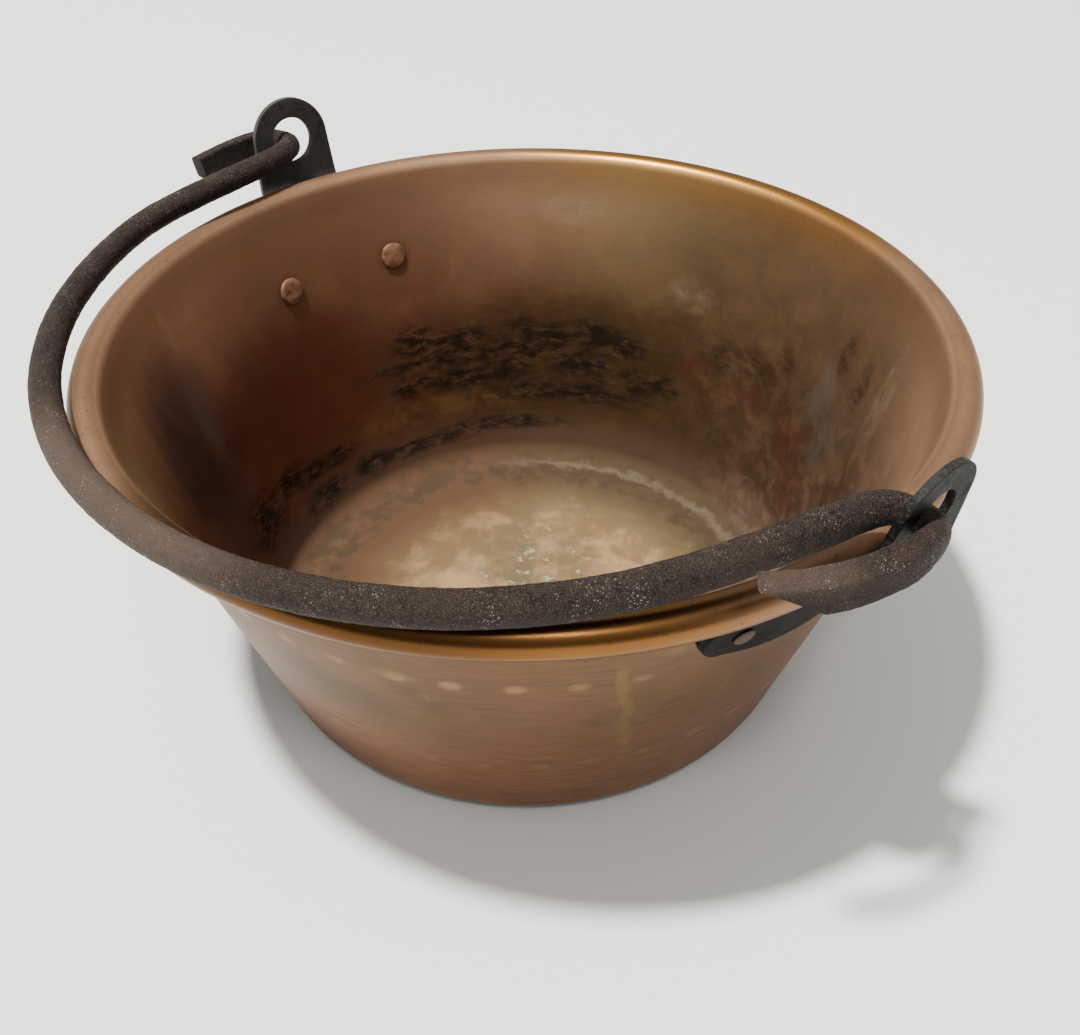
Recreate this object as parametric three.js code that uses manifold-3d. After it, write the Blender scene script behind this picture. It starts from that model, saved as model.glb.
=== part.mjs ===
// Copper preserving pan with a rolled, wired rim, two riveted iron ears and a forged swing bail.
// Millimetres, +Z up. The origin is the centre of the flat underside, the bail pivots along X
// and lies forward (-Y) on the rim.

import * as THREE from 'three';
import { mergeVertices } from 'three/addons/utils/BufferGeometryUtils.js';
import Module from 'manifold-3d';

const wasm = await Module();
wasm.setup();

// Pan, one copper sheet
const rimRadius = 130;
const panHeight = 118;
const sheet = 1.6;
const footRadius = 89;            // where the straight wall would meet the ground
const cornerRadius = 10;          // outside of the base corner
const rollRadius = 4.8;           // outside of the rolled rim
const rollEnd = degrees(-140);    // the roll stops just short of the wall
const wireRadius = 2.75;          // iron wire inside the roll
const turns = 80;                 // facets round the pan
const gap = 0.3;                  // clearance between touching pieces

// Ears, forged iron straps that were bent and set by hand, so the two differ a little
const earThickness = 2.2;
const eyeHeight = 129.2;          // middle of both eyes
const eyeRadius = 7.7;
const strapEndRadius = 7;
const strapBelly = 5.5;           // how far the strap swells downwards at its middle
const strapShoulder = 6;          // fillet between the strap and the upright
const joggleBend = 4;             // length of each bend where the upright is set out round the rim
const earTaper = 1.8;             // the upright is this much wider at its foot, on each side
const ears = {
  right: {
    turn: degrees(0.84), strapHeight: 96.2, halfLength: 40.2, rivetSpread: degrees(14.6),
    joggleFoot: 103, joggleHead: 111, face: 136.4, lean: degrees(8), halfWidth: 14.3, top: 144.2,
  },
  left: {
    turn: degrees(179.1), strapHeight: 86.5, halfLength: 38.5, rivetSpread: degrees(11.2),
    joggleFoot: 99.5, joggleHead: 112, face: 137.6, lean: degrees(5.8), halfWidth: 14.2, top: 143.8,
  },
};

// Rivets, copper
const shankRadius = 2.6;
const innerHeadRadius = 4.9;
const innerHeadHeight = 1.7;
const outerHeadRadius = 3.4;
const outerHeadHeight = 0.7;

// Bail, one forged rod with a hook at each end; the rod is drawn thinner towards the left
const pivotHeight = 128.6;        // the hooks hang a little below the middle of the eyes
const bailDip = degrees(3.15);    // the hoop leans down on to the rim
const hoopRadius = 126.3;
const hoopShift = -4.5;           // end play: the bail has slid to the left
const hoopCentre = 5.8;           // in front of the pivot
const hookNeck = 3.9;             // half width of the rod where it passes the eye
const tailHalfWidth = 2.7;
const tailTilt = degrees(5);      // the tails lean, foot outwards
const hooks = {
  right: {
    rod: 4.7, leg: degrees(18), legReach: 40, sag: 0.5, eye: [136.4, 0.4], eyeReach: 12, bendReach: 11,
    tip: [133.6, -39.1], tipTurn: degrees(36.6), tipReach: 19.8,
    halfHeight: 5.1, lift: 3.1, scarf: 7.2,
  },
  left: {
    rod: 4.3, leg: degrees(30), legReach: 27, sag: -0.6, eye: [137.6, 0.9], eyeReach: 11.5, bendReach: 13,
    tip: [143.3, -31.8], tipTurn: degrees(17.8), tipReach: 16,
    halfHeight: 4.7, lift: -0.9, scarf: 0.8,
  },
};

const copper = new THREE.MeshStandardMaterial({ color: 0xa8714f, roughness: 0.42, metalness: 1 });
const rivetCopper = new THREE.MeshStandardMaterial({ color: 0x9a6142, roughness: 0.5, metalness: 1 });
const blackIron = new THREE.MeshStandardMaterial({ color: 0x3a3d40, roughness: 0.6, metalness: 0.9 });
const rustyIron = new THREE.MeshStandardMaterial({ color: 0x4d3d37, roughness: 0.75, metalness: 0.7 });
const rimIron = new THREE.MeshStandardMaterial({ color: 0x55504a, roughness: 0.7, metalness: 0.8 });

// The wall leans so that its inner face runs on as the outside of the rolled rim.
const roll = new THREE.Vector2(rimRadius - rollRadius, panHeight - rollRadius);
const reach = Math.hypot(roll.x - footRadius, roll.y);
const lean = Math.atan2(roll.x - footRadius, roll.y) - Math.asin((rollRadius - sheet) / reach);
const wallNormal = new THREE.Vector2(Math.cos(lean), -Math.sin(lean));

function degrees(angle) {
  return angle * Math.PI / 180;
}

function wallRadius(height) {
  return footRadius + height * Math.tan(lean);
}

function arc(x, y, radius, from, to, steps) {
  const points = [];
  for (let i = 0; i <= steps; i++) {
    const angle = from + (to - from) * i / steps;
    points.push(new THREE.Vector2(x + radius * Math.cos(angle), y + radius * Math.sin(angle)));
  }
  return points;
}

function revolve(profile, segments) {
  return new THREE.LatheGeometry(profile, segments).rotateX(Math.PI / 2);
}

// Boolean solids: shared vertices merged, slivers on a lathe's axis dropped.
function solid(geometry) {
  const bare = geometry.clone();
  bare.deleteAttribute('normal');
  bare.deleteAttribute('uv');
  const merged = mergeVertices(bare, 1e-4);
  const index = merged.index.array;
  const triangles = [];
  for (let i = 0; i < index.length; i += 3) {
    const [a, b, c] = index.subarray(i, i + 3);
    if (a !== b && b !== c && c !== a) triangles.push(a, b, c);
  }
  return new wasm.Manifold(new wasm.Mesh({
    numProp: 3,
    vertProperties: new Float32Array(merged.attributes.position.array),
    triVerts: new Uint32Array(triangles),
  }));
}

function geometryOf(manifold) {
  const mesh = manifold.getMesh();
  const geometry = new THREE.BufferGeometry();
  geometry.setAttribute('position', new THREE.BufferAttribute(mesh.vertProperties, 3));
  geometry.setIndex(new THREE.BufferAttribute(mesh.triVerts, 1));
  geometry.computeVertexNormals();
  return geometry;
}

function named(name, geometry, material) {
  const mesh = new THREE.Mesh(geometry, material);
  mesh.name = name;
  return mesh;
}

// Pan body: floor, rounded corner, leaning wall and the rim rolled outwards round its wire.
function panGeometry() {
  const cornerTurn = Math.PI / 2 - lean;
  const cornerX = footRadius + cornerRadius * (Math.tan(lean) - 1 / Math.cos(lean));
  const wallSide = Math.PI - lean;
  const profile = [
    new THREE.Vector2(0, 0),
    ...arc(cornerX, cornerRadius, cornerRadius, -Math.PI / 2, -Math.PI / 2 + cornerTurn, 5),
    ...arc(roll.x, roll.y, rollRadius - sheet, wallSide, rollEnd, 11),
    ...arc(roll.x, roll.y, rollRadius, rollEnd, wallSide, 11),
    ...arc(cornerX, cornerRadius, cornerRadius - sheet, -Math.PI / 2 + cornerTurn, -Math.PI / 2, 5),
    new THREE.Vector2(0, sheet),
  ];
  return revolve(profile, turns);
}

// A point on the outside of the wall where a rivet passes, with the wall's outward direction.
function rivetSeat(azimuth, height) {
  const radius = wallRadius(height);
  const around = new THREE.Vector3(Math.cos(azimuth), Math.sin(azimuth), 0);
  const normal = around.clone().multiplyScalar(wallNormal.x).setZ(wallNormal.y);
  return { point: around.multiplyScalar(radius).setZ(height), normal };
}

function seated(geometry, seat) {
  const turn = new THREE.Quaternion().setFromUnitVectors(new THREE.Vector3(0, 0, 1), seat.normal);
  return geometry.applyQuaternion(turn).translate(...seat.point);
}

function rivetHole(seat) {
  const hole = new THREE.CylinderGeometry(shankRadius + gap, shankRadius + gap, 16, 16);
  return solid(seated(hole.rotateX(Math.PI / 2), seat));
}

// Rivet: a domed head inside the pan, a plain shank, and a lower peened head on the strap.
function rivetGeometry(seat) {
  const inside = -sheet - gap - 0.1;
  const outside = gap + earThickness + gap;
  const dome = (radius, height, level, side, from, to) =>
    arc(0, 0, 1, from, to, 3).map(
      (p) => new THREE.Vector2(radius * p.x, level + side * height * p.y));
  const profile = [
    ...dome(innerHeadRadius, innerHeadHeight, inside, -1, Math.PI / 2, 0),
    new THREE.Vector2(shankRadius, inside),
    new THREE.Vector2(shankRadius, outside),
    ...dome(outerHeadRadius, outerHeadHeight, outside, 1, 0, Math.PI / 2),
  ];
  profile[0].x = 0;
  profile[profile.length - 1].x = 0;
  return seated(revolve(profile, 16), seat);
}

// Closed slab between two skins of a grid, skin(u, v, side).
function slab(rows, columns, skin) {
  const points = [];
  const faces = [];
  const at = (i, j, side) => (side * (rows + 1) + i) * (columns + 1) + j;
  for (const side of [0, 1]) {
    for (let i = 0; i <= rows; i++) {
      for (let j = 0; j <= columns; j++) points.push(...skin(i / rows, j / columns, side));
    }
  }
  const quad = (a, b, c, d) => faces.push(a, b, c, a, c, d);
  for (let i = 0; i < rows; i++) {
    for (let j = 0; j < columns; j++) {
      quad(at(i, j, 0), at(i + 1, j, 0), at(i + 1, j + 1, 0), at(i, j + 1, 0));
      quad(at(i, j, 1), at(i, j + 1, 1), at(i + 1, j + 1, 1), at(i + 1, j, 1));
    }
    quad(at(i, 0, 0), at(i, 0, 1), at(i + 1, 0, 1), at(i + 1, 0, 0));
    quad(at(i, columns, 0), at(i + 1, columns, 0), at(i + 1, columns, 1), at(i, columns, 1));
  }
  for (let j = 0; j < columns; j++) {
    quad(at(0, j, 0), at(0, j + 1, 0), at(0, j + 1, 1), at(0, j, 1));
    quad(at(rows, j, 0), at(rows, j, 1), at(rows, j + 1, 1), at(rows, j + 1, 0));
  }
  const geometry = new THREE.BufferGeometry();
  geometry.setAttribute('position', new THREE.Float32BufferAttribute(points, 3));
  geometry.setIndex(faces);
  return geometry;
}

// Outline of an ear seen square on: T-strap below, round-topped upright with the eye above.
function earOutline(ear) {
  const end = ear.halfLength - strapEndRadius;
  const low = ear.strapHeight - strapEndRadius;
  const high = ear.strapHeight + strapEndRadius;
  const side = ear.halfWidth;
  const foot = side + earTaper;
  const shape = new THREE.Shape();
  shape.moveTo(-end, low);
  shape.quadraticCurveTo(0, low - 2 * strapBelly, end, low);
  shape.absarc(end, ear.strapHeight, strapEndRadius, -Math.PI / 2, Math.PI / 2);
  shape.lineTo(foot + strapShoulder, high);
  shape.quadraticCurveTo(foot, high, foot, high + strapShoulder);
  shape.absarc(0, ear.top - side, side, 0, Math.PI);
  shape.lineTo(-foot, high + strapShoulder);
  shape.quadraticCurveTo(-foot, high, -foot - strapShoulder, high);
  shape.absarc(-end, ear.strapHeight, strapEndRadius, Math.PI / 2, Math.PI * 1.5);
  const eye = new THREE.Path();
  eye.absarc(0, eyeHeight, eyeRadius, 0, Math.PI * 2);
  shape.holes.push(eye);
  return shape;
}

// Ear: a strap that hugs the wall, joggles out round the rim and stands up with its eye, leaning out.
// A bent slab is trimmed to the outline, looking along X, and drilled for its rivets.
function earGeometry(ear, seats) {
  const { joggleFoot, joggleHead } = ear;
  const stand = (gap + earThickness / 2) / Math.cos(lean);
  const onWall = (z) => new THREE.Vector2(wallRadius(z) + stand, z);
  const upright = (z) => new THREE.Vector2(ear.face + (z - eyeHeight) * Math.tan(ear.lean), z);
  const start = onWall(ear.strapHeight - strapEndRadius - 2 * strapBelly);
  const foot = onWall(joggleFoot);
  const head = upright(joggleHead);
  const along = head.clone().sub(foot).setLength(joggleBend);
  const intoFoot = onWall(joggleFoot - joggleBend);
  const outOfFoot = foot.clone().add(along);
  const intoHead = head.clone().sub(along);
  const outOfHead = upright(joggleHead + joggleBend);
  const top = upright(ear.top + 1);
  const side = new THREE.Path();
  side.moveTo(start.x, start.y);
  side.lineTo(intoFoot.x, intoFoot.y);
  side.quadraticCurveTo(foot.x, foot.y, outOfFoot.x, outOfFoot.y);
  side.lineTo(intoHead.x, intoHead.y);
  side.quadraticCurveTo(head.x, head.y, outOfHead.x, outOfHead.y);
  side.lineTo(top.x, top.y);

  const sheetOf = (u, v, face) => {
    const middle = side.getPointAt(u);
    const tangent = side.getTangentAt(u);
    const offset = (face - 0.5) * earThickness;
    const x = middle.x + tangent.y * offset;
    const z = middle.y - tangent.x * offset;
    const y = (v - 0.5) * 2 * (ear.halfLength + 1);
    const hug = 1 - THREE.MathUtils.smoothstep(middle.y, joggleFoot, joggleHead);
    return [x - hug * (x - Math.sqrt(x * x - y * y)), y, z];
  };
  const trim = new THREE.ExtrudeGeometry(earOutline(ear), {
    depth: 60, bevelEnabled: false, curveSegments: 10,
  });
  const axes = [[0, 1, 0], [0, 0, 1], [1, 0, 0]].map((axis) => new THREE.Vector3(...axis));
  trim.applyMatrix4(new THREE.Matrix4().makeBasis(...axes)).translate(90, 0, 0);
  let shape = solid(slab(24, 12, sheetOf)).intersect(solid(trim));
  for (const seat of seats) shape = shape.subtract(rivetHole(seat));
  return geometryOf(shape);
}

// The two curves of a hook: from the hoop into the eye, and from the eye round to the tip.
function hookCurves(hook, side) {
  const start = new THREE.Vector2(
    hoopShift + side * hoopRadius * Math.cos(hook.leg),
    -hoopCentre - hoopRadius * Math.sin(hook.leg));
  const heading = new THREE.Vector2(side * Math.sin(hook.leg), Math.cos(hook.leg));
  const eye = new THREE.Vector2(side * hook.eye[0], hook.eye[1]);
  const outwards = new THREE.Vector2(side, 0);
  const tip = new THREE.Vector2(side * hook.tip[0], hook.tip[1]);
  const cut = new THREE.Vector2(-side * Math.sin(hook.tipTurn), -Math.cos(hook.tipTurn));
  const from = (point, direction, distance) => point.clone().addScaledVector(direction, distance);
  const inner = new THREE.CubicBezierCurve(
    start, from(start, heading, hook.legReach), from(eye, outwards, -hook.eyeReach), eye);
  const outer = new THREE.CubicBezierCurve(
    eye, from(eye, outwards, hook.bendReach), from(tip, cut, -hook.tipReach), tip);
  return { inner, outer };
}

// Section of the rod from the hoop (0) to the eye (1) and on to the tip of the tail (2).
function rodSection(hook, progress, rod) {
  const mix = THREE.MathUtils.lerp;
  const ease = THREE.MathUtils.smoothstep;
  const necked = ease(progress, 0.3, 1);
  const thinned = ease(progress, 1.02, 1.4);
  const beaten = ease(progress, 1.11, 1.43);
  return {
    wide: mix(mix(rod, hookNeck, necked), tailHalfWidth, thinned),
    high: mix(mix(rod, hookNeck + 0.1, necked), hook.halfHeight, beaten),
    square: mix(2, 3.4, beaten),
    tilt: tailTilt * beaten,
    lift: mix(hook.sag * ease(progress, 0, 0.7), hook.lift, beaten),
    shear: hook.scarf * ease(progress, 1.3, 2),
  };
}

// Bail: one rod swept from the left tail, through the left eye, round the hoop, through the right
// eye to the right tail. The section narrows in the eyes and is beaten flat in the tails.
function bailGeometry() {
  const left = hookCurves(hooks.left, -1);
  const right = hookCurves(hooks.right, 1);
  const hoop = new THREE.EllipseCurve(
    hoopShift, -hoopCentre, hoopRadius, hoopRadius,
    Math.PI + hooks.left.leg, Math.PI * 2 - hooks.right.leg);
  const rings = [];
  const addRings = (curve, steps, hook, progress, way = 1, rod = () => hook.rod) => {
    for (let i = rings.length ? 1 : 0; i <= steps; i++) {
      const t = way > 0 ? i / steps : 1 - i / steps;
      const section = rodSection(hook, progress(t), rod(t));
      section.shear *= way;
      const tangent = curve.getTangent(t).multiplyScalar(way);
      rings.push({ point: curve.getPoint(t), tangent, section });
    }
  };
  addRings(left.outer, 18, hooks.left, (t) => 1 + t, -1);
  addRings(left.inner, 16, hooks.left, (t) => t, -1);
  const thickening = (t) => THREE.MathUtils.lerp(hooks.left.rod, hooks.right.rod, t);
  addRings(hoop, 34, hooks.right, () => 0, 1, thickening);
  addRings(right.inner, 14, hooks.right, (t) => t);
  addRings(right.outer, 18, hooks.right, (t) => 1 + t);
  return sweep(rings, 16);
}

// Skin over a row of super-elliptic rings that stand square to a path in the XY plane.
function sweep(rings, sides) {
  const points = [];
  const faces = [];
  const rounded = (value, power) => Math.sign(value) * Math.abs(value) ** power;
  for (const { point, tangent, section } of rings) {
    for (let j = 0; j < sides; j++) {
      const angle = Math.PI * 2 * j / sides;
      const across = section.wide * rounded(Math.cos(angle), 2 / section.square);
      const up = rounded(Math.sin(angle), 2 / section.square);
      const high = section.high * up;
      const out = across * Math.cos(section.tilt) - high * Math.sin(section.tilt);
      const slide = section.shear * up;
      points.push(
        point.x - tangent.y * out + tangent.x * slide,
        point.y + tangent.x * out + tangent.y * slide,
        high * Math.cos(section.tilt) + across * Math.sin(section.tilt) + section.lift);
    }
  }
  const last = (rings.length - 1) * sides;
  for (let i = 0; i < rings.length - 1; i++) {
    for (let j = 0; j < sides; j++) {
      const a = i * sides + j;
      const b = i * sides + (j + 1) % sides;
      faces.push(a, b, a + sides, b, b + sides, a + sides);
    }
  }
  for (let j = 1; j < sides - 1; j++) {
    faces.push(0, j + 1, j);
    faces.push(last, last + j, last + j + 1);
  }
  const geometry = new THREE.BufferGeometry();
  geometry.setAttribute('position', new THREE.Float32BufferAttribute(points, 3));
  geometry.setIndex(faces);
  geometry.computeVertexNormals();
  return geometry;
}

const cauldron = new THREE.Group();
let pan = solid(panGeometry());

for (const [side, ear] of Object.entries(ears)) {
  const seats = [-ear.rivetSpread, ear.rivetSpread].map((turned) => rivetSeat(turned, ear.strapHeight));
  const corner = new THREE.Group();
  corner.rotation.z = ear.turn;
  corner.add(named(`ear_${side}`, earGeometry(ear, seats), blackIron));
  const ends = side === 'right' ? ['front', 'back'] : ['back', 'front'];
  seats.forEach((seat, i) => {
    corner.add(named(`rivet_${side}_${ends[i]}`, rivetGeometry(seat), rivetCopper));
    const hole = rivetHole(seat).rotate([0, 0, ear.turn * 180 / Math.PI]);
    pan = pan.subtract(hole);
  });
  cauldron.add(corner);
}

cauldron.add(named('pan_body', geometryOf(pan), copper));

const wire = named('rim_wire', new THREE.TorusGeometry(roll.x, wireRadius, 8, turns), rimIron);
wire.position.z = roll.y;
cauldron.add(wire);

const bail = named('bail', bailGeometry(), rustyIron);
bail.position.z = pivotHeight;
bail.rotation.x = bailDip;
cauldron.add(bail);

export default cauldron;
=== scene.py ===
import math
import random

import bmesh
import bpy
from mathutils import Matrix, Vector, noise


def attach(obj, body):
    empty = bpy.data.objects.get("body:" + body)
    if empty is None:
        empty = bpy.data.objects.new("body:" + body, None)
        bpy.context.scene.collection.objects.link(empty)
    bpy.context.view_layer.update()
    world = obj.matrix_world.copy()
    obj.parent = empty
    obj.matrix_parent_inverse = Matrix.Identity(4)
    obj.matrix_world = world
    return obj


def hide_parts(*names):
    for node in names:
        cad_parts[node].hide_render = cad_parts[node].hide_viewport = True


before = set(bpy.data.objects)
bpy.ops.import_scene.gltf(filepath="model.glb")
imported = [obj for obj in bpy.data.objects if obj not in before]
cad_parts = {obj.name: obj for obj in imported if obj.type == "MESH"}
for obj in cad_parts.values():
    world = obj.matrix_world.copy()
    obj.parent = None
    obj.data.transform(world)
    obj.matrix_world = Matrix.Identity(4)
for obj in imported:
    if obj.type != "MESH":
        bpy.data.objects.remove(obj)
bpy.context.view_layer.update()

# The pan is one copper sheet, raised with a leaning wall and a rounded corner. Its rim is rolled
# outwards round an iron wire. Two rows of planishing dots run round the outside, and the sheet has
# the slight waves of hand work.
mm = 0.001
rim_radius = 130 * mm
pan_height = 118 * mm
sheet = 1.6 * mm
foot_radius = 89 * mm
corner_radius = 10 * mm
roll_radius = 4.8 * mm
roll_end = math.radians(-140)
roll_x = rim_radius - roll_radius
roll_z = pan_height - roll_radius
lean = (math.atan2(roll_x - foot_radius, roll_z)
        - math.asin((roll_radius - sheet) / math.hypot(roll_x - foot_radius, roll_z)))
pan_steps = 640
wave_depth = 0.16 * mm
wave_around, wave_up = 3.1, 34
wave_fade = (2 * mm, 20 * mm)
on_face = 0.05 * mm
# Height, count and first azimuth in degrees of each row of dots.
dot_rows = ((83.2 * mm, 47, -40.3), (35 * mm, 41, -37.5))
dot_radius = 3.1 * mm
dot_depth = 0.13 * mm
dot_pitch = 0.85 * mm
dot_wander = 0.6 * mm
dot_scatter = 0.06
dot_core, dot_edge = 0.55, 1.1
dot_squash = 1.25
# Azimuths in radians where the dots are rubbed.
rubbed_right, rubbed_left = -0.35, -1.45


def smooth(value, low, high):
    """0 below low, 1 above high and an eased step between them."""
    t = min(max((value - low) / (high - low), 0), 1)
    return t * t * (3 - 2 * t)


def between(low, high, share):
    return low + (high - low) * share


def arc(x, z, radius, start, end, steps):
    """Points along a round stretch of a profile in the XZ plane."""
    angles = [start + (end - start) * i / steps for i in range(steps + 1)]
    return [Vector((x + radius * math.cos(a), 0, z + radius * math.sin(a))) for a in angles]


def wall_radius(height):
    return foot_radius + height * math.tan(lean)


def pan_profile():
    """Half section of the sheet, from the middle of the underside round to the middle of the floor."""
    corner_x = foot_radius + corner_radius * (math.tan(lean) - 1 / math.cos(lean))
    down = -math.pi / 2
    side = -lean
    wall_side = math.pi - lean
    outer_corner = arc(corner_x, corner_radius, corner_radius, down, side, 9)
    inner_corner = arc(corner_x, corner_radius, corner_radius - sheet, side, down, 9)
    outer_roll = arc(roll_x, roll_z, roll_radius, roll_end, wall_side, 30)
    inner_roll = arc(roll_x, roll_z, roll_radius - sheet, wall_side, roll_end, 14)
    low, high = outer_corner[-1].z, inner_roll[0].z
    levels = {low + (high - low) * i / 18 for i in range(1, 18)}
    for row, *_ in dot_rows:
        levels |= {row + dot_pitch * i for i in range(-5, 6)}
    outer_wall = [Vector((wall_radius(z), 0, z)) for z in sorted(levels)]
    inner_wall = [outer_roll[-1].lerp(inner_corner[0], i / 22) for i in range(1, 22)]
    underside = [Vector((corner_x * i / 6, 0, 0)) for i in range(6)]
    floor = [Vector((corner_x * i / 16, 0, sheet)) for i in reversed(range(16))]
    return (underside + outer_corner + outer_wall + inner_roll + outer_roll
            + inner_wall + inner_corner + floor)


def planishing_dots():
    """Azimuth, height, radius and strength of each hammered dot.

    Some were hit harder than others. The upper row is rubbed faint on the right and round the back,
    and both rows are softer on the left of the front.
    """
    hand = random.Random(11)
    dots = []
    for row, count, start in dot_rows:
        for i in range(count):
            azimuth = math.radians(start) + (i + dot_scatter * hand.uniform(-1, 1)) * 2 * math.pi / count
            height = row + dot_wander * hand.uniform(-1, 1)
            from_right = math.remainder(azimuth - rubbed_right, 2 * math.pi)
            from_left = math.remainder(azimuth - rubbed_left, 2 * math.pi)
            faint = smooth(from_right, -0.12, 0.06) if row == dot_rows[0][0] else 0
            clear = smooth(abs(from_left), 0.44, 0.56)
            strength = hand.uniform(0.7, 1) * (1 - 0.85 * faint) * between(0.45, 1, clear)
            dots.append((azimuth, height, dot_radius * hand.uniform(0.9, 1.08), strength))
    return dots


def piece(name, bm, body, slot, *nodes):
    """Makes a smooth-shaded object of a bmesh. It rides on a body and stands for its CAD nodes."""
    mesh = bpy.data.meshes.new(name)
    bm.to_mesh(mesh)
    bm.free()
    mesh.shade_smooth()
    obj = bpy.data.objects.new(name, mesh)
    bpy.context.scene.collection.objects.link(obj)
    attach(obj, body)
    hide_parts(*nodes)
    return obj


def spun(profile, steps):
    """A bmesh of a profile turned a full circle about Z."""
    bm = bmesh.new()
    verts = [bm.verts.new(point) for point in profile]
    edges = [bm.edges.new(pair) for pair in zip(verts, verts[1:])]
    bmesh.ops.spin(bm, geom=verts + edges, cent=(0, 0, 0), axis=(0, 0, 1), angle=2 * math.pi,
                   steps=steps, use_merge=True)
    bmesh.ops.remove_doubles(bm, verts=bm.verts, dist=0.01 * mm)
    bmesh.ops.recalc_face_normals(bm, faces=bm.faces)
    return bm


def pan_mesh():
    bm = spun(pan_profile(), pan_steps)
    planish = bm.verts.layers.float.new("planish")
    dots = planishing_dots()
    for vert in bm.verts:
        x, y, z = vert.co
        radius = math.hypot(x, y)
        if radius < 0.1 * mm:
            continue
        out = Vector((x / radius, y / radius, 0))
        azimuth = math.atan2(y, x)
        wave = noise.noise(Vector((out.x * wave_around, out.y * wave_around, z * wave_up)))
        push = (smooth(wave, -0.7, 0.7) - 1) * wave_depth * smooth(z, *wave_fade)
        depth = (radius - wall_radius(z)) * math.cos(lean)
        if abs(depth) < on_face and z > corner_radius:
            for dot_azimuth, height, size, strength in dots:
                if abs(z - height) > dot_edge * size:
                    continue
                turn = math.remainder(azimuth - dot_azimuth, 2 * math.pi)
                apart = math.hypot(turn * radius, dot_squash * (z - height) / math.cos(lean))
                mark = 1 - smooth(apart, dot_core * size, dot_edge * size)
                push -= dot_depth * mark * strength
                vert[planish] = max(vert[planish], mark * strength)
        vert.co += out * push
    return bm


copper_pan = piece("copper_pan", pan_mesh(), "pan", "pan_copper", "pan_body")


class Socket:
    """A value in a material's nodes. Sums on it add Math nodes, and add() adds any other node."""

    def __init__(self, end):
        self.end = end
        self.tree = end.id_data

    def add(self, kind, settings=None, inputs=None, out=0):
        node = self.tree.nodes.new("ShaderNode" + kind)
        for name, value in (settings or {}).items():
            setattr(node, name, value)
        for key, value in (inputs or {}).items():
            if isinstance(value, Socket):
                self.tree.links.new(value.end, node.inputs[key])
            else:
                node.inputs[key].default_value = value
        return Socket(node.outputs[out])

    def math(self, operation, *values):
        return self.add("Math", {"operation": operation}, dict(enumerate(values)))

    def __add__(self, other):
        return self.math("ADD", self, other)

    def __sub__(self, other):
        return self.math("SUBTRACT", self, other)

    def __rsub__(self, other):
        return self.math("SUBTRACT", other, self)

    def __mul__(self, other):
        return self.math("MULTIPLY", self, other)

    def __truediv__(self, other):
        return self.math("DIVIDE", self, other)

    def __rtruediv__(self, other):
        return self.math("DIVIDE", other, self)

    def __pow__(self, other):
        return self.math("POWER", self, other)

    def __abs__(self):
        return self.math("ABSOLUTE", self)

    __radd__ = __add__
    __rmul__ = __mul__

    def step(self, low, high):
        """0 below low, 1 above high, eased between."""
        return self.add("MapRange", {"interpolation_type": "SMOOTHSTEP"},
                        {"Value": self, "From Min": low, "From Max": high})

    def most(self, other):
        return self.math("MAXIMUM", self, other)

    def blend(self, low, high):
        """A colour between low and high, with this value as the share of high."""
        return self.add("Mix", {"data_type": "RGBA"}, {0: self, 6: low, 7: high}, out=2)

    def noise(self, scale, detail=3, roughness=0.55, distortion=0):
        """Clouds on these coordinates, from 0 to 1 about a half."""
        return self.add("TexNoise", None, {"Vector": self, "Scale": scale, "Detail": detail,
                                           "Roughness": roughness, "Distortion": distortion})

    def cells(self, scale):
        """Distance to the nearest of points scattered on these coordinates."""
        return self.add("TexVoronoi", None, {"Vector": self, "Scale": scale})


def colour(red, green, blue):
    """A shader colour from screen values of 0 to 255."""
    def linear(value):
        value /= 255
        return value / 12.92 if value <= 0.04045 else ((value + 0.055) / 1.055) ** 2.4
    return (linear(red), linear(green), linear(blue), 1)


def finish(name, obj):
    """A new material on obj: its Principled shader and the object's coordinates in millimetres."""
    material = bpy.data.materials.new(name)
    material.use_nodes = True
    shader = material.node_tree.nodes["Principled BSDF"]
    place = Socket(material.node_tree.nodes.new("ShaderNodeTexCoord").outputs["Object"])
    millimetres = place.add("VectorMath", {"operation": "SCALE"}, {0: place, "Scale": 1000})
    obj.data.materials.clear()
    obj.data.materials.append(material)
    return shader, millimetres


def wire_up(shader, **values):
    """Feeds the shader's sockets, named with _ for a space, from sockets or plain values."""
    for name, value in values.items():
        socket = shader.inputs[name.replace("_", " ")]
        if isinstance(value, Socket):
            value.tree.links.new(value.end, socket)
        else:
            socket.default_value = value


def xyz(place):
    """The three parts of a vector."""
    return [place.add("SeparateXYZ", None, {0: place}, out=i) for i in range(3)]


def bump(height):
    """Surface normals of a height in millimetres."""
    return height.add("Bump", None, {"Height": height, "Distance": mm, "Strength": 1.0})


# Marks on the wall: azimuth in degrees, then height, half width and half height in millimetres.
soot_spots = (
    (167, 53, 8, 6), (157, 51, 11, 4), (143, 52, 7, 5), (135, 50, 9, 5), (126, 52, 11, 5),
    (119, 49, 9, 4), (169, 37, 8, 4), (157, 36, 14, 4), (146, 38, 9, 5), (128, 40, 12, 5),
    (117, 36, 13, 5), (108, 38, 6, 4), (149, 45, 44, 4), (132, 29, 30, 4),
)
corner_soot = (
    (-151, 29, 10, 4), (-159, 25, 10, 3), (-167, 24, 8, 3), (-176, 14, 8, 4), (-160, 14, 10, 4),
    (-139, 27, 12, 9), (171, 13, 22, 2.5), (148, 16, 24, 2.5),
)
dark_dashes = ((95.8, 56, 4, 5), (80.8, 68, 4, 4), (67, 84, 3, 6), (60, 80, 3, 7), (88, 60, 9, 5))
red_spots = ((102, 49, 6, 5), (88, 48, 12, 5), (72, 44, 8, 7), (67, 35, 7, 9), (-174, 69, 9, 5))
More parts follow.
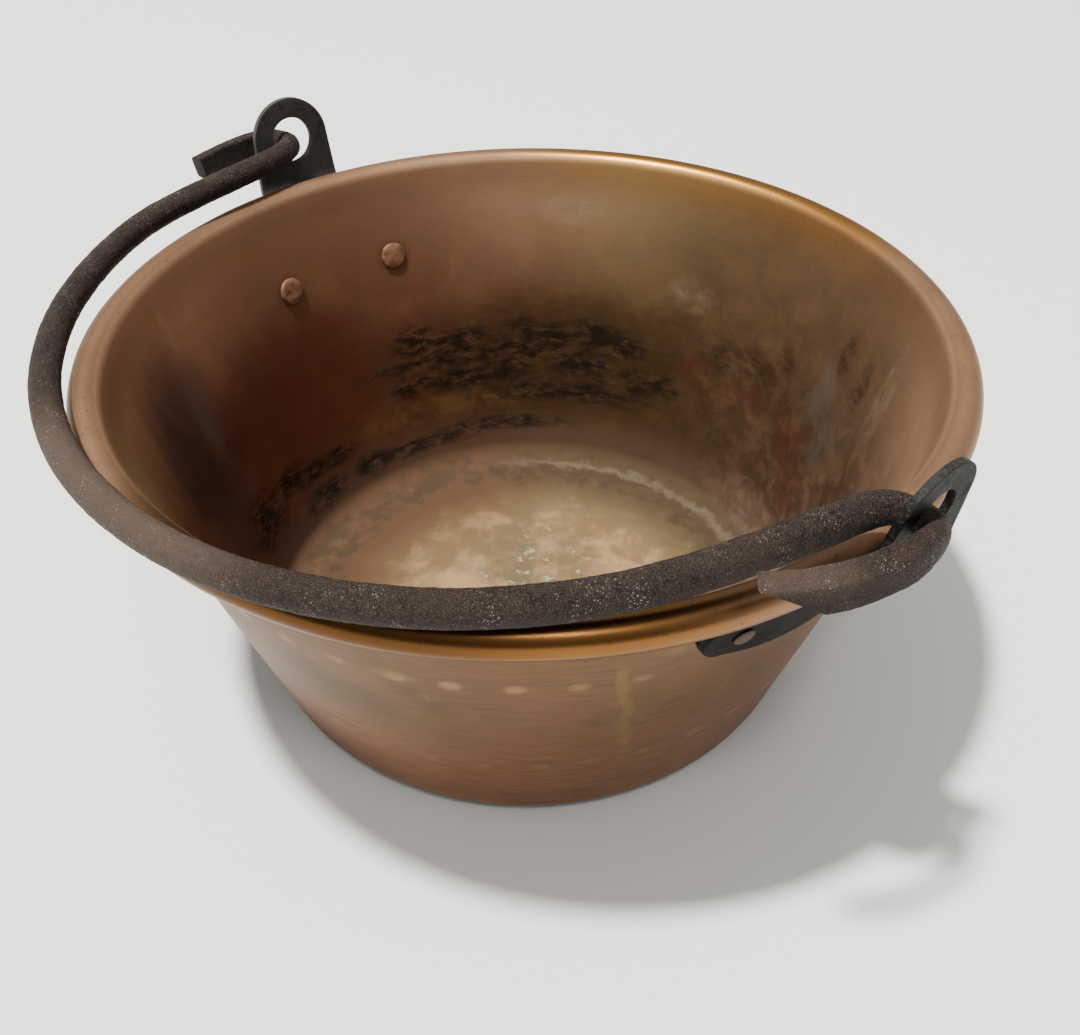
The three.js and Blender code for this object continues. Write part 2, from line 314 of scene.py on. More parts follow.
grey_smears = ((70, 68, 9, 9), (59, 71, 7, 11), (61, 55, 8, 10), (-139, 72, 6, 15))
pale_streaks = (
    (53.5, 88, 2.2, 14), (51.4, 79, 2.6, 12), (-140, 103, 2, 7), (133, 98, 10, 4), (106, 75, 8, 5),
)
rivet_grime = ((167.9, 86.5, 5, 5), (-169.7, 86.5, 5, 5))
yellow_stains = ((-20.4, 94, 6, 2.5), (-56, 84.4, 5, 2.5), (-52, 75, 3, 2), (-10.8, 58, 2, 15))
# The long drip's azimuth at the foot and its slant per millimetre of height, both in degrees.
drip_azimuth = -21.6
drip_slant = 0.066
deposit_radius = 82
grime_radius = 79
crumbs_at = (-14, 14)


def layered(tone, *coats):
    """A tone with coats over it, each of them a mask, its strength and its screen colour."""
    for mask, strength, screen in coats:
        tone = (mask * strength).blend(tone, colour(*screen))
    return tone


def patch(x, y, centre, near, far):
    """1 about a centre seen from above, fading to 0 between two squared distances."""
    from_x, from_y = x - centre[0], y - centre[1]
    return 1 - (from_x * from_x + from_y * from_y).step(near, far)


def paint_pan(obj):
    shader, place = finish("aged_copper", obj)
    x, y, z = xyz(place)
    radius = (x * x + y * y) ** 0.5
    turn = x.math("ARCTAN2", 0 - x, y) * math.degrees(1)
    beyond = (radius - z * math.tan(lean) - foot_radius / mm) * math.cos(lean)
    under = 1 - z.step(0.3, 1.3)
    inside = (1 - beyond.step(-1.2, -0.4)) * (1 - under)
    roll = z.step(107.5, 110.5) * beyond.step(-1.55, -0.9)
    floor = inside * (1 - z.step(2.5, 8))
    planish = place.add("Attribute", {"attribute_name": "planish"}, out=2)

    # Patterns: lines run round the pan, flakes lie level, wipes run upwards and the rest are even.
    around = 9 / (radius + 0.001)
    ring = place.add("CombineXYZ", None, {0: x * around, 1: y * around, 2: z * 1.5})
    level = place.add("VectorMath", {"operation": "MULTIPLY"}, {0: place, 1: (1, 1, 2.4)})
    upright = place.add("VectorMath", {"operation": "MULTIPLY"}, {0: place, 1: (1, 1, 0.3)})
    lines = ring.noise(1.0, 5, 0.7)
    clouds = place.noise(0.022, 4, 0.6)
    blotches = place.noise(0.06, 5, 0.62, 0.4)
    mottle = place.noise(0.11, 6, 0.68, 0.6)
    specks = place.noise(0.55, 3, 0.6)
    flakes = level.noise(0.16, 9, 0.66, 0.3)
    wipes = upright.noise(0.07, 5, 0.65, 0.3)

    def toward(azimuth):
        """Cosine of the angle between a point's azimuth and this one."""
        a = math.radians(azimuth)
        return (x * math.cos(a) + y * math.sin(a)) / (radius + 0.001)

    def spot(azimuth, height, wide, tall):
        """A soft oval at an azimuth in degrees and a height, with its half sizes in millimetres."""
        reach = math.radians(wall_radius(height * mm)) / mm / wide
        across = turn.math("MULTIPLY_ADD", turn, reach, -reach * math.remainder(azimuth - 90, 360))
        up = z.math("MULTIPLY_ADD", z, 1 / tall, -height / tall)
        return (across * across + up * up).step(2.6, 0.1)

    def spots(places):
        total = spot(*places[0])
        for other in places[1:]:
            total = total.most(spot(*other))
        return total

    # Outside: pink at the foot and browner above, with painted light towards the front-right and painted
    # shade towards the front-left, brushed lines, pale dots and yellow drips.
    drip = math.radians(drip_azimuth) - z * math.radians(drip_slant)
    drip_across = y * drip.math("COSINE", drip) - x * drip.math("SINE", drip) + (mottle - 0.5) * 9
    drips = (1 - abs(drip_across).step(0.6, 2.6)) * x.step(0, 30) * z.step(18, 45) * (1 - z.step(86, 96))
    drips = drips.most(spots(yellow_stains) * mottle.step(0.4, 0.6))
    outside_tone = layered(
        z.step(12, 70).blend(colour(158, 112, 86), colour(70, 55, 33)),
        # Painted light and shade: the wall is lightened towards the front-right and darkened towards the
        # front-left, evening out the floor light that the wall reflects.
        (toward(-8).step(0.75, 1), 0.5, (136, 102, 78)),
        (toward(-105).step(0.7, 1), 0.7, (56, 43, 30)),
        (y.step(-30, 40), 0.5, (108, 80, 56)),
        (clouds.step(0.4, 0.65), 0.35, (132, 88, 68)),
        (lines.step(0.36, 0.68), 0.5, (74, 56, 34)),
        (planish, 0.4, (160, 124, 90)),
        (drips, 0.24, (140, 122, 70)),
    )

    # Wall inside: browned low down and redder on the left, with smears, stains and soot.
    high = z.step(52, 108)
    left_tone = high.blend(colour(112, 66, 50), colour(176, 132, 106))
    right_tone = high.blend(colour(122, 98, 82), colour(178, 144, 114))
    wall_tone = high.blend(colour(92, 73, 49), colour(158, 132, 94))
    wall_tone = toward(-165).step(0.2, 0.9).blend(wall_tone, left_tone)
    wall_tone = toward(40).step(0.3, 0.9).blend(wall_tone, right_tone)
    streaks = toward(62).step(0.3, 0.9) * (1 - z.step(50, 88)) * mottle.step(0.38, 0.6)
    low = (1 - (z + mottle * 20).step(18, 52)) * toward(165).step(-0.4, 0.6)
    soot = spots(soot_spots + corner_soot) * flakes.step(0.34, 0.6)
    wall_tone = layered(
        wall_tone,
        (spot(80, 88, 56, 44), 0.75, (88, 67, 45)),
        (spot(180, 92, 46, 26), 0.55, (100, 63, 45)),
        (spots(rivet_grime), 0.45, (62, 44, 32)),
        (blotches.step(0.4, 0.64), 0.3, (138, 105, 70)),
        (wipes.step(0.42, 0.62) * (1 - high), 0.45, (96, 74, 56)),
        (streaks, 0.6, (66, 51, 34)),
        (spot(-163, 50, 36, 24), 0.75, (88, 42, 30)),
        (spot(-130, 62, 20, 32) * (0.3 + wipes * 0.7), 1, (58, 44, 42)),
        (low, 0.8, (70, 53, 35)),
        (spot(139, 42, 58, 20) * (0.2 + flakes * 1.2), 1, (66, 48, 26)),
        (spot(162, 26, 30, 4) * mottle.step(0.35, 0.6), 0.4, (128, 100, 64)),
        (spots(red_spots) * flakes.step(0.34, 0.6), 0.6, (104, 54, 42)),
        (spots(grey_smears) * wipes.step(0.35, 0.65), 0.6, (120, 110, 96)),
        (spots(pale_streaks) * mottle.step(0.3, 0.7), 0.35, (188, 166, 140)),
        (spots(dark_dashes) * flakes.step(0.36, 0.6), 0.6, (56, 40, 28)),
        (soot, 1, (36, 24, 15)),
    )

    # Floor: worn bare in the middle and dark with grime at its edge, with a line and crumbs of limescale.
    olive = (mottle * 0.7 + radius.step(20, 80) * 0.26 - 0.42).step(0, 0.14)
    grime = (1 - abs(radius - grime_radius + (mottle - 0.5) * 34).step(3, 11)) * flakes.step(0.36, 0.56)
    deposit = 1 - abs(radius - deposit_radius + (mottle - 0.5) * 16).step(0.4, 3.4)
    deposit = deposit * toward(100).step(0.5, 0.9)
    near = patch(x, y, crumbs_at, 60, 1100)
    crumbs = (place.noise(0.21, 4, 0.6) + near * 0.17 - 0.74).step(0, 0.1)
    lime = crumbs * floor.step(0.2, 0.5)
    floor_tone = layered(
        blotches.step(0.36, 0.6).blend(colour(168, 136, 97), colour(126, 101, 69)),
        (olive, 0.75, (120, 106, 74)),
        (radius.step(44, 78), 0.9, (60, 48, 31)),
        (toward(-160).step(0.1, 0.9) * radius.step(25, 70), 0.7, (88, 58, 38)),
        (grime, 0.85, (62, 48, 32)),
        (deposit * (0.1 + specks * 0.6), 1, (110, 97, 77)),
        (near * mottle.step(0.35, 0.6), 0.7, (100, 92, 66)),
    )
    inside_tone = layered(floor.blend(wall_tone, floor_tone), (lime, 0.65, (146, 146, 120)))

    # Bead: glossier at the front and back, with a golden tone there that is painted sheen where the
    # lamps' highlights fall, and painted shade under the rod.
    # Painted sheen: the golden tone sits where the lamps' highlights fall on the bead; at the front it is
    # darker, painted shade that dims the floor's reflection there.
    gold_sheen = toward(-50).step(0.72, 0.95).most(toward(105).step(0.72, 0.95))
    gold_sheen_tone = y.step(-40, 40).blend(colour(118, 80, 42), colour(150, 106, 52))
    bead_tone = clouds.step(0.35, 0.7).blend(colour(138, 104, 76), colour(122, 90, 65))
    bead_tone = layered(
        gold_sheen.blend(bead_tone, gold_sheen_tone),
        # Painted shade: the bead is darkened under the rod, which shades it and is reflected in it.
        (toward(-66).step(0.84, 0.98), 0.8, (70, 45, 24)),
        (place.noise(0.8, 2, 0.5).step(0.66, 0.72), 0.5, (70, 46, 30)),
    )

    # The whole sheet: its tones, how smooth and how bare it is, and its fine relief.
    inside_tone = (z.step(98, 114) * 0.6).blend(inside_tone, bead_tone)
    tone = inside.blend(outside_tone, inside_tone)
    tone = under.blend(tone, colour(84, 62, 46))
    tone = roll.blend(tone, bead_tone)
    rough = 0.36 + lines * 0.14 - planish * 0.08
    rough = rough + inside * (0.06 + blotches * 0.16) + floor * 0.12
    corner = inside * radius.step(66, 80) * (1 - z.step(8, 24))
    rough = rough + soot * 0.25 * inside + corner * 0.3 + roll * (0.04 - gold_sheen * 0.16)
    metal = 1 - inside * 0.2 - floor * (0.2 + lime * 0.5) - corner * 0.4 - roll * (1 - gold_sheen) * 0.3
    relief = lines * 0.02 + specks * 0.02 * inside + soot * 0.05 * inside + lime * 0.25
    wire_up(shader, Base_Color=tone, Roughness=rough, Metallic=metal.most(0), Normal=bump(relief),
            Specular_Tint=colour(246, 240, 233))


paint_pan(copper_pan)

# The wire inside the rolled rim is plain drawn iron, closed to a ring before the copper was rolled round
# it. The roll hides it, so it keeps the CAD's own ring.
wire_bare, wire_rust = colour(92, 88, 84), colour(104, 70, 48)


def paint_wire(obj):
    shader, place = finish("drawn_iron", obj)
    rust = place.noise(0.3, 4, 0.6).step(0.45, 0.7)
    wire_up(shader, Base_Color=rust.blend(wire_bare, wire_rust), Roughness=0.5 + rust * 0.3,
            Metallic=1 - rust * 0.8)


paint_wire(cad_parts["rim_wire"])

# Each ear is a forged iron T-strap, bent and set by hand, so the two differ a little. The foot hugs
# the wall under the rim and takes two rivets. The upright is set out round the bead, leans outwards
# and has the punched eye that holds the bail. Its cut edges are worn to bare grey.
eye_height = 129.2 * mm
ear_thickness = 2.2 * mm
ear_edge = 0.5 * mm
ear_taper = 1.8 * mm
eye_radius = 7.7 * mm
strap_end = 7 * mm
strap_belly = 5.5 * mm
strap_shoulder = 6 * mm
joggle_bend = 4 * mm
gap = 0.3 * mm
score_pitch = 1.2 * mm
wear_band = (0.45 * mm, 0.05 * mm)
hammer_scale, hammer_share = 130, 0.06
ears = {
    "right": {
        "turn": math.radians(0.84), "strap": 96.2 * mm, "half_length": 40.2 * mm,
        "spread": math.radians(14.6), "joggle": (103 * mm, 111 * mm), "face": 136.4 * mm,
        "lean": math.radians(8), "half_width": 14.3 * mm, "top": 144 * mm,
    },
    "left": {
        "turn": math.radians(179.1), "strap": 86.5 * mm, "half_length": 38.5 * mm,
        "spread": math.radians(11.2), "joggle": (99.5 * mm, 112 * mm), "face": 137.6 * mm,
        "lean": math.radians(5.8), "half_width": 14.2 * mm, "top": 143.6 * mm,
    },
}


def curve(start, control, end, steps):
    """Points of a quadratic curve, without its first one."""
    shares = [i / steps for i in range(1, steps + 1)]
    return [start.lerp(control, t).lerp(control.lerp(end, t), t) for t in shares]


def ear_outline(ear):
    """The ear seen square on, as points in the YZ plane, anticlockwise from the strap's belly."""
    def at(y, z):
        return Vector((0, y, z))

    def bend(y, z, radius, start, end, steps):
        return [at(p.x, p.z) for p in arc(y, z, radius, math.radians(start), math.radians(end), steps)]

    end = ear["half_length"] - strap_end
    low, high = ear["strap"] - strap_end, ear["strap"] + strap_end
    side = ear["half_width"]
    foot = side + ear_taper
    neck = at(foot + strap_shoulder, high)
    half = bend(end, ear["strap"], strap_end, -90, 90, 14) + [neck]
    half += curve(neck, at(foot, high), at(foot, high + strap_shoulder), 6)
    half += bend(0, ear["top"] - side, side, 0, 90, 16)
    other = [at(-p.y, p.z) for p in reversed(half[:-1])]
    belly = curve(at(-end, low), at(0, low - 2 * strap_belly), at(end, low), 18)
    return belly[:-1] + half + other


def ear_side(ear):
    """Middle line of the bent strap in the XZ plane, from below the foot to above the top."""
    stand = (gap + ear_thickness / 2) / math.cos(lean)
    low, high = ear["joggle"]

    def on_wall(z):
        return Vector((wall_radius(z) + stand, 0, z))

    def upright(z):
        return Vector((ear["face"] + (z - eye_height) * math.tan(ear["lean"]), 0, z))

    foot, head = on_wall(low), upright(high)
    along = (head - foot).normalized() * joggle_bend
    line = [on_wall(ear["strap"] - 25 * mm), on_wall(low - joggle_bend)]
    line += curve(line[-1], foot, foot + along, 10)
    line += [head - along] + curve(head - along, head, upright(high + joggle_bend), 10)
    return line + [upright(ear["top"] + 5 * mm)]


def bent(point, line, joggle):
    """Where a point of the flat blank goes when it is bent along the ear's side line."""
    for low, high in zip(line, line[1:]):
        if point.z <= high.z:
            break
    share = (point.z - low.z) / (high.z - low.z)
    middle = low.lerp(high, share)
    along = (high - low).normalized()
    x = middle.x + along.z * point.x
    z = middle.z - along.x * point.x
    hug = 1 - smooth(middle.z, *joggle)
    return Vector((x - hug * (x - math.sqrt(x * x - point.y * point.y)), point.y, z))


def ear_mesh(ear):
    """Cuts a flat blank, softens its edges, scores it finely, hammers it and bends it to shape."""
    bm = bmesh.new()
    rim = [bm.verts.new(point) for point in ear_outline(ear)]
    for pair in zip(rim, rim[1:] + rim[:1]):
        bm.edges.new(pair)
    facing = Matrix.Translation((0, 0, eye_height)) @ Matrix.Rotation(math.pi / 2, 4, "Y")
    bmesh.ops.create_circle(bm, segments=44, radius=eye_radius, matrix=facing)
    bmesh.ops.triangle_fill(bm, edges=bm.edges, use_beauty=True, normal=(1, 0, 0))
    grown = bmesh.ops.extrude_face_region(bm, geom=bm.faces[:])["geom"]
    lifted = [v for v in grown if isinstance(v, bmesh.types.BMVert)]
    bmesh.ops.translate(bm, verts=lifted, vec=(ear_thickness, 0, 0))
    bmesh.ops.translate(bm, verts=bm.verts, vec=(-ear_thickness / 2, 0, 0))
    bmesh.ops.recalc_face_normals(bm, faces=bm.faces)
    brink = [e for e in bm.edges if e.calc_face_angle(0) > 1]
    bmesh.ops.bevel(bm, geom=brink, offset=ear_edge, offset_type="OFFSET", affect="EDGES", segments=3,
                    profile=0.5, material=-1, clamp_overlap=True)
    spans = ((2, ear["strap"] - 15 * mm, ear["top"]), (1, -ear["half_length"], ear["half_length"]))
    for axis, low, high in spans:
        normal = Vector((0, 0, 0))
        normal[axis] = 1
        for i in range(1, int((high - low) / score_pitch)):
            bmesh.ops.bisect_plane(bm, geom=bm.verts[:] + bm.edges[:] + bm.faces[:], dist=0.001 * mm,
                                   plane_co=normal * (low + i * score_pitch), plane_no=normal)
    wear = bm.verts.layers.float.new("wear")
    line = ear_side(ear)
    half = ear_thickness / 2
    for vert in bm.verts:
        vert[wear] = 1 - smooth(abs(vert.co.x), half - wear_band[0], half - wear_band[1])
        dent = noise.noise(vert.co * hammer_scale + Vector((ear["top"] * 900, 0, 0)))
        vert.co.x *= 1 - hammer_share * smooth(dent, -0.5, 0.5)
        vert.co = bent(vert.co, line, ear["joggle"])
    bmesh.ops.rotate(bm, verts=bm.verts, cent=(0, 0, 0), matrix=Matrix.Rotation(ear["turn"], 3, "Z"))
    return bm


def paint_ear(obj):
    shader, place = finish("black_iron", obj)
    wear = place.add("Attribute", {"attribute_name": "wear"}, out=2)
    x, _, z = xyz(place)
    clouds = place.noise(0.12, 5, 0.6)
    grain = place.noise(1.1, 4, 0.65)
    rust = (place.noise(0.2, 5, 0.65, 0.5) + grain * 0.2).step(0.62, 0.76)
    left_ear_painted_light = 1 - x.step(-1, 1)
    tone = layered(
        clouds.step(0.35, 0.7).blend(colour(10, 10, 10), colour(26, 26, 25)),
        # Painted light: the tops of the ears are lighter, for how the light falls on them.
        (z.step(134, 146), 0.3, (60, 60, 58)),
        # Painted light: the whole left ear is lighter than the right one, for how the light falls on it.
        (left_ear_painted_light * (0.3 + clouds), 1, (74, 73, 70)),
        (rust, 0.5, (46, 36, 29)),
        (wear * grain.step(0.42, 0.66), 0.8, (96, 92, 86)),
    )
    wire_up(shader, Base_Color=tone, Roughness=0.46 + grain * 0.2 + rust * 0.15 - wear * 0.1,
            Metallic=wear * 0.4, Specular_IOR_Level=0.05, Normal=bump(clouds * 0.3 + grain * 0.12))


for side, ear in ears.items():
    node = "ear_" + side
    paint_ear(piece("forged_" + node, ear_mesh(ear), "pan", "ear_iron", node))

# The rivets are copper. Each has a flat, round-edged head inside the pan, and a low, darkened one on the
# strap, where the shank was peened over.
shank_radius = 2.6 * mm
inner_head = (4.9 * mm, 1.0 * mm)
outer_head = (2.9 * mm, 0.6 * mm)
head_flatness, head_rise = 0.5, 0.9
rivet_dent = 0.03


def rivet_mesh(azimuth, height):
    inside = -sheet - gap - 0.1 * mm
    outside = gap + ear_thickness + gap

    def dome(size, level, side, start, end):
        unit = arc(0, 0, 1, math.radians(start), math.radians(end), 10)
        wide = [size[0] * max(p.x, 0) ** head_flatness for p in unit]
        tall = [level + side * size[1] * max(p.z, 0) ** head_rise for p in unit]
        return [Vector((x, 0, z)) for x, z in zip(wide, tall)]

    profile = dome(inner_head, inside, -1, 90, 0)
    profile += [Vector((shank_radius, 0, inside)), Vector((shank_radius, 0, outside))]
    profile += dome(outer_head, outside, 1, 0, 90)
    profile[0].x = profile[-1].x = 0
    bm = spun(profile, 48)
    for vert in bm.verts:
        dent = noise.noise(vert.co * 420 + Vector((azimuth * 9, height * 300, 0)))
        vert.co *= 1 - rivet_dent * smooth(dent, -0.5, 0.5)
    cos, sin = math.cos(azimuth), math.sin(azimuth)
    out = Vector((cos * math.cos(lean), sin * math.cos(lean), -math.sin(lean)))
    seat = Vector((wall_radius(height) * cos, wall_radius(height) * sin, height))
    turned = Vector((0, 0, 1)).rotation_difference(out).to_matrix().to_4x4()
    bmesh.ops.transform(bm, matrix=Matrix.Translation(seat) @ turned, verts=bm.verts)
    return bm


def paint_rivet(obj):
    shader, place = finish("rivet_copper", obj)
    clouds = place.noise(0.35, 4, 0.6)
    tone = clouds.step(0.35, 0.7).blend(colour(138, 98, 72), colour(102, 69, 49))
    x, y, z = xyz(place)
    peened = ((x * x + y * y) ** 0.5 - z * math.tan(lean) - foot_radius / mm).step(0.5, 1.5)
    tone = peened.blend(tone, colour(70, 52, 38))
    wire_up(shader, Base_Color=tone, Roughness=0.6 + clouds * 0.2, Metallic=0.6 - peened * 0.2,
            Normal=bump(clouds * 0.15))


for side, ear in ears.items():
    toward_front = -1 if side == "right" else 1
    for end, way in (("front", toward_front), ("back", -toward_front)):
        azimuth = ear["turn"] + way * ear["spread"]
        node = f"rivet_{side}_{end}"
        bm = rivet_mesh(azimuth, ear["strap"])
        paint_rivet(piece("copper_" + node, bm, "pan", "rivet_copper", node))

# The bail is one forged iron rod, rusted and finely pitted. It lies along the front of the rim, and at
# each end a hook goes outwards through the eye and ends in a tail that was beaten flat and cut off.
pivot_height = 128.6 * mm
bail_dip = math.radians(3.15)
# The rod is laid out flat in millimetres, then scaled and swung into place.
hoop_radius = 126.3
hoop_shift = -4.5
hoop_centre = 5.8
hook_neck = 3.9
tail_half_width = 2.7
tail_tilt = math.radians(5)
hooks = {
    "right": {
        "rod": 4.7, "leg": math.radians(18), "leg_reach": 40, "sag": 0.5, "eye": (136.4, 0.4),
        "eye_reach": 12, "bend_reach": 11, "tip": (133.6, -39.1), "tip_turn": math.radians(36.6),
        "tip_reach": 19.8, "half_height": 5.1, "lift": 3.1, "scarf": 7.2, "slope": 2.6, "square": 8,
    },
    "left": {
        "rod": 4.3, "leg": math.radians(30), "leg_reach": 27, "sag": -0.6, "eye": (137.6, 0.9),
        "eye_reach": 11.5, "bend_reach": 13, "tip": (143.2, -31.8), "tip_turn": math.radians(17.8),
        "tip_reach": 16, "half_height": 4.7, "lift": -0.9, "scarf": 0.8, "slope": 0.6, "square": 4.5,
    },
}
ring_pitch = 0.55
ring_sides = 60
rod_inset = 0.13
pit_depth = 0.22
# Strength and scale of the broad hammer marks, the small ones and the pits.
rod_marks = ((0.45, 0.11), (0.35, 0.5), (0.35, 1.1))
tip_edge = 0.4 * mm
worn_at = (10, -130)


def hook_curves(hook, side):
    """The curves from the hoop into the eye and from there round to the tip, in the bail's plane."""
    def cubic(a, b, c, d):
        def place(t):
            ab, bc, cd = a.lerp(b, t), b.lerp(c, t), c.lerp(d, t)
            return ab.lerp(bc, t).lerp(bc.lerp(cd, t), t)
        return place

    leg, turn = hook["leg"], hook["tip_turn"]
    across, back = hoop_radius * math.cos(leg), hoop_radius * math.sin(leg)
    start = Vector((hoop_shift + side * across, -hoop_centre - back, 0))
    heading = Vector((side * math.sin(leg), math.cos(leg), 0))
    eye = Vector((side * hook["eye"][0], hook["eye"][1], 0))
    tip = Vector((side * hook["tip"][0], hook["tip"][1], 0))
    outwards = Vector((side, 0, 0))
    cut = Vector((-side * math.sin(turn), -math.cos(turn), 0))
    inner = cubic(start, start + heading * hook["leg_reach"], eye - outwards * hook["eye_reach"], eye)
    outer = cubic(eye, eye + outwards * hook["bend_reach"], tip - cut * hook["tip_reach"], tip)
    return inner, outer


def rod_section(hook, progress, rod):
    """The rod's section from the hoop (0) to the eye (1) and on to the tip of the tail (2)."""
    necked = smooth(progress, 0.3, 1)
    thinned = smooth(progress, 1.02, 1.4)
    beaten = smooth(progress, 1.11, 1.43)
    return {
        "wide": between(between(rod, hook_neck, necked), tail_half_width, thinned),
        "high": between(between(rod, hook_neck + 0.1, necked), hook["half_height"], beaten),
        "square": between(between(2, 3.4, beaten), hook["square"], smooth(progress, 1.35, 1.6)),
        "tilt": tail_tilt * beaten,
        "lift": between(hook["sag"] * smooth(progress, 0, 0.7), hook["lift"], beaten),
        "shear": hook["scarf"] * smooth(progress, 1.3, 2),
        "slope": hook["slope"] * smooth(progress, 1.2, 1.55),
    }


def bail_rings():
    """Rings along the rod from the left tip to the right one: centre, direction and section."""
    left, right = hooks["left"], hooks["right"]
    left_inner, left_outer = hook_curves(left, -1)
    right_inner, right_outer = hook_curves(right, 1)
    start, end = math.pi + left["leg"], 2 * math.pi - right["leg"]

    def hoop(t):
        angle = between(start, end, t)
        x, y = hoop_radius * math.cos(angle), hoop_radius * math.sin(angle)
        return Vector((hoop_shift + x, -hoop_centre + y, 0))

    stretches = (
        (lambda t: left_outer(1 - t), left, 2, 1),
        (lambda t: left_inner(1 - t), left, 1, 0),
        (hoop, right, 0, 0),
        (right_inner, right, 0, 1),
        (right_outer, right, 1, 2),
    )
    rings = []
    for place, hook, first, last in stretches:
        path = [place(i / 40) for i in range(41)]
        steps = round(sum((b - a).length for a, b in zip(path, path[1:])) / ring_pitch)
        for i in range(steps + (last == 2)):
            t = i / steps
            along = (place(min(t + 0.002, 1)) - place(max(t - 0.002, 0))).normalized()
            rod = between(left["rod"], right["rod"], t) if first == last else hook["rod"]
            section = rod_section(hook, between(first, last, t), rod)
            section["shear"] *= 1 if last >= first else -1
            rings.append((place(t), along, section))
    return rings


def bail_mesh():
    """Rolls a long grid into the rod, ring by ring, and closes its two ends."""
    rings = bail_rings()
    bm = bmesh.new()
    bmesh.ops.create_grid(bm, x_segments=len(rings) - 1, y_segments=ring_sides, size=1)
    swing = Matrix.Translation((0, 0, pivot_height)) @ Matrix.Rotation(bail_dip, 4, "X")
    for vert in bm.verts:
        centre, along, section = rings[round((vert.co.x + 1) / 2 * (len(rings) - 1))]
        angle = math.pi * (vert.co.y + 1)
        side, up = math.cos(angle), math.sin(angle)
        side = math.copysign(abs(side) ** (2 / section["square"]), side)
        up = math.copysign(abs(up) ** (2 / section["square"]), up)
        across, high, tilt = section["wide"] * side, section["high"] * up, section["tilt"]
        middle = centre + Vector((0, 0, section["lift"]))
        spot = middle + Vector((-along.y, along.x, 0)) * (across * math.cos(tilt) - high * math.sin(tilt))
        spot += along * section["shear"] * up
        spot.z += high * math.cos(tilt) + across * math.sin(tilt)
        spot.z -= section["slope"] * max(up, 0) * (1 + side) / 2
        hammer = sum(share * noise.noise(spot * scale) for share, scale in rod_marks)
        inwards = (middle + along * section["shear"] * up - spot).normalized()
        spot += inwards * (rod_inset + pit_depth * smooth(hammer, -0.6, 0.6))
        vert.co = swing @ (spot * mm)
    bmesh.ops.remove_doubles(bm, verts=bm.verts, dist=0.002 * mm)
    bmesh.ops.holes_fill(bm, edges=[e for e in bm.edges if e.is_boundary], sides=0)
    bmesh.ops.recalc_face_normals(bm, faces=bm.faces)
    tips = [f for f in bm.faces if len(f.verts) > 4]
    bmesh.ops.bevel(bm, geom=[e for f in tips for e in f.edges], offset=tip_edge, offset_type="OFFSET",
                    affect="EDGES", segments=3, profile=0.5, material=-1, clamp_overlap=True)
    return bm


def paint_bail(obj):
    shader, place = finish("rusty_iron", obj)
    x, y, z = xyz(place)
    clouds = place.noise(0.05, 5, 0.6)
    crust = place.noise(0.55, 6, 0.75)
    grain = place.noise(3.2, 3, 0.7)
    patchy = (place.noise(0.12, 4, 0.6) + grain * 0.5).step(0.74, 0.92)
    glints = (1 - place.cells(1.5).step(0.14, 0.3)) * patchy
    # Painted light: the top of the right tail is lighter, where the light falls on it.
    tail = x.step(126, 131) * (1 - y.step(-34, -20)) * z.step(128, 133)
    tone = layered(
        crust.step(0.36, 0.64).blend(colour(9, 7, 6), colour(40, 31, 25)),
        (clouds.step(0.42, 0.66), 0.5, (46, 33, 26)),
        (patch(x, y, worn_at, 300, 2800), 0.4, (104, 88, 74)),
        (grain.step(0.46, 0.68), 0.5, (96, 81, 69)),
        (tail, 0.2, (116, 98, 82)),
        (glints, 0.7, (160, 150, 142)),
    )
    wire_up(shader, Base_Color=tone, Roughness=0.58 + grain * 0.16 - glints * 0.3,
            Metallic=glints * 0.6, Specular_IOR_Level=0.15, Normal=bump(crust * 0.5 + grain * 0.3))


paint_bail(piece("forged_bail", bail_mesh(), "bail", "bail_iron", "bail"))

# Studio: a plain pale floor, a soft lamp high above on the left and a small weak one at the front. The
# fill is brightest overhead, and brighter behind the pan than behind the camera.
floor_size = 8
floor_colour = colour(233, 233, 228)
lamps = {
    "high_lamp": {"toward": Vector((-0.1204, -0.2666, 1)), "distance": 6.2, "size": 0.52, "power": 900},
    "front_lamp": {"toward": Vector((0.41, -0.24, 0.88)), "distance": 2.4, "size": 0.36, "power": 11},
}
fill_front = (0.06, 0.06, 0.06, 1)
fill_behind = (0.5, 0.5, 0.48, 1)
fill_above = (0.72, 0.72, 0.71, 1)


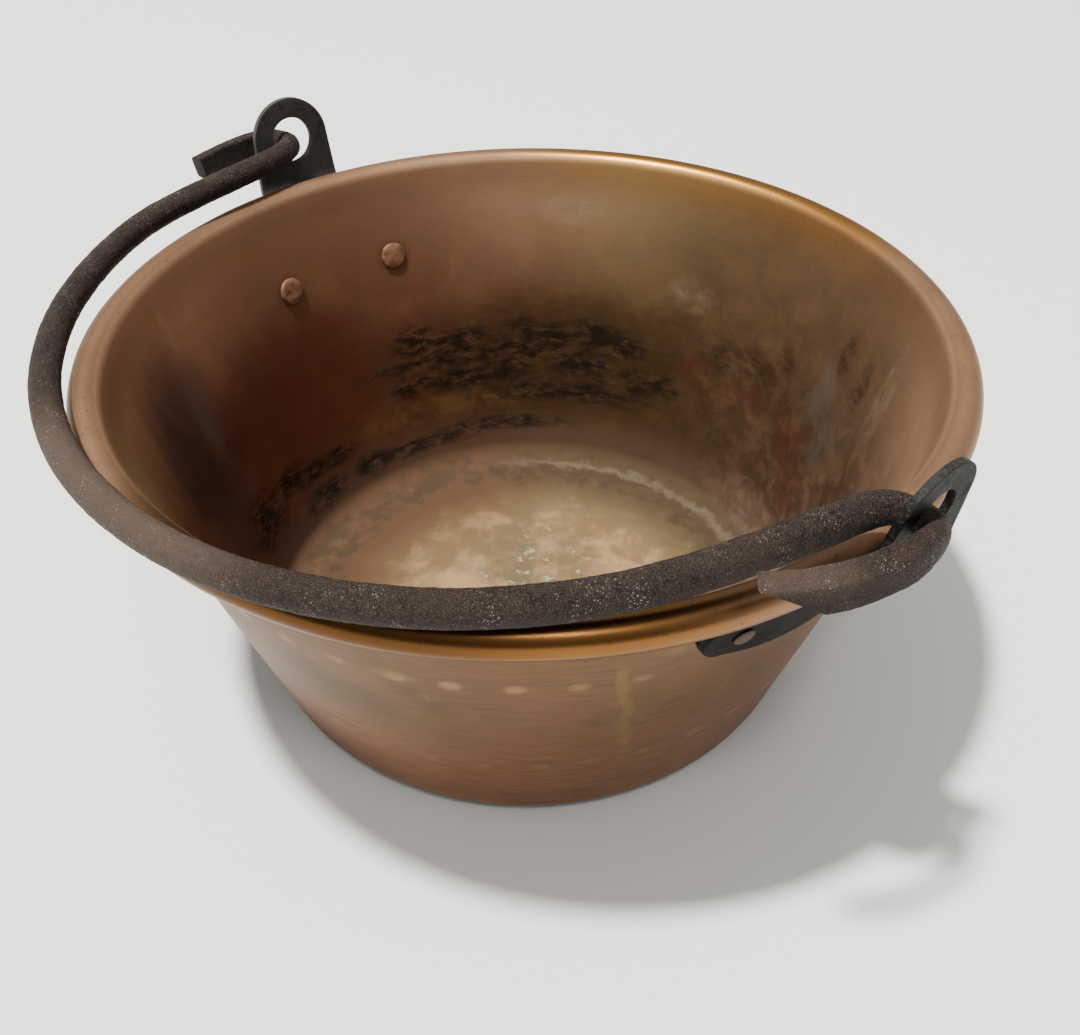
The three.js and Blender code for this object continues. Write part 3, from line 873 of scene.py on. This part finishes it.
def studio_floor():
    bm = bmesh.new()
    bmesh.ops.create_grid(bm, x_segments=1, y_segments=1, size=floor_size / 2)
    mesh = bpy.data.meshes.new("studio_floor")
    bm.to_mesh(mesh)
    bm.free()
    floor = bpy.data.objects.new("studio_floor", mesh)
    bpy.context.scene.collection.objects.link(floor)
    shader, _ = finish("pale_floor", floor)
    wire_up(shader, Base_Color=floor_colour, Roughness=0.8)


studio_floor()


def studio_lamp(name, toward, distance, size, power):
    """A round soft lamp that looks at the pan from a direction."""
    lamp = bpy.data.objects.new(name, bpy.data.lights.new(name, "AREA"))
    lamp.data.shape = "DISK"
    lamp.data.size = size
    lamp.data.energy = power
    lamp.location = toward.normalized() * distance
    lamp.rotation_euler = toward.to_track_quat("Z", "Y").to_euler()
    bpy.context.scene.collection.objects.link(lamp)


for name, setting in lamps.items():
    studio_lamp(name, **setting)

world = bpy.data.worlds.new("studio_fill")
world.use_nodes = True
backdrop = world.node_tree.nodes["Background"]
sky = Socket(world.node_tree.nodes.new("ShaderNodeTexCoord").outputs["Generated"])
east, north, height = xyz(sky)
around = (north * 0.77 - east * 0.63).step(-0.3, 0.9).blend(fill_front, fill_behind)
wire_up(backdrop, Color=height.step(-0.15, 1).blend(around, fill_above))
bpy.context.scene.world = world

# Camera: close above the right front of the rim, looking down into the pan as in the photograph. Its
# lens is set from the focal length in pixels that fits a picture of this width.
camera_place = Vector((226.6, -179.6, 286.4)) * mm
camera_azimuth = math.radians(50.85)
camera_elevation = math.radians(40.34)
camera_roll = math.radians(-0.46)
focal_pixels = 1120
image_width = 1080

camera = bpy.data.objects.new("camera", bpy.data.cameras.new("camera"))
camera.data.sensor_fit = "HORIZONTAL"
camera.data.sensor_width = 36
camera.data.lens = camera.data.sensor_width * focal_pixels / image_width
camera.data.clip_start = 0.01
camera.matrix_world = (Matrix.Translation(camera_place) @ Matrix.Rotation(camera_azimuth, 4, "Z")
                       @ Matrix.Rotation(math.pi / 2 - camera_elevation, 4, "X")
                       @ Matrix.Rotation(camera_roll, 4, "Z"))
bpy.context.scene.collection.objects.link(camera)
bpy.context.scene.camera = camera
